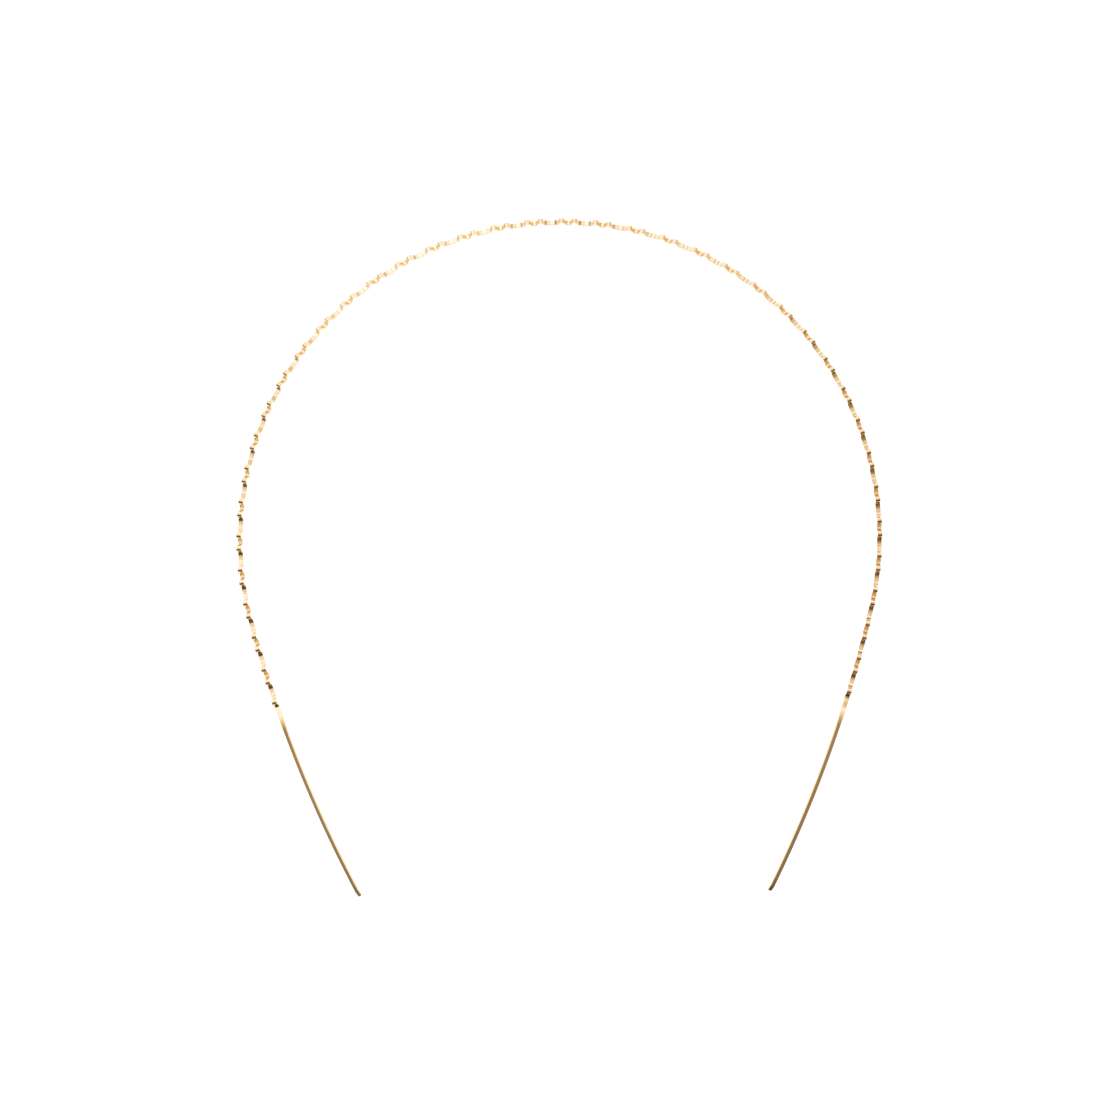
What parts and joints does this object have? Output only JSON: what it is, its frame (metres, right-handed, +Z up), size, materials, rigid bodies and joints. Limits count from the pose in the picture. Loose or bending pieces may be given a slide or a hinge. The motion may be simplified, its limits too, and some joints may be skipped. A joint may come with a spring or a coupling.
{
  "type": "metal headband",
  "caption": "Thin springy headband: one flat gold-plated metal strip crimped into a row of small double bumps and bent into an open horseshoe arch with plain ends.",
  "frame": {"origin": "under the middle of the box round the band, on the surface that it lies on", "axes": "+Y towards the crown of the arch, its open ends towards -Y; +X across the head; +Z up, the way that the bumps stand"},
  "size_m": [0.1404, 0.147, 0.0025],
  "materials": {
    "gold_plate": "polished gold plate on spring steel"
  },
  "bodies": {
    "root": {"band": "gold_plate"}
  },
  "joints": []
}
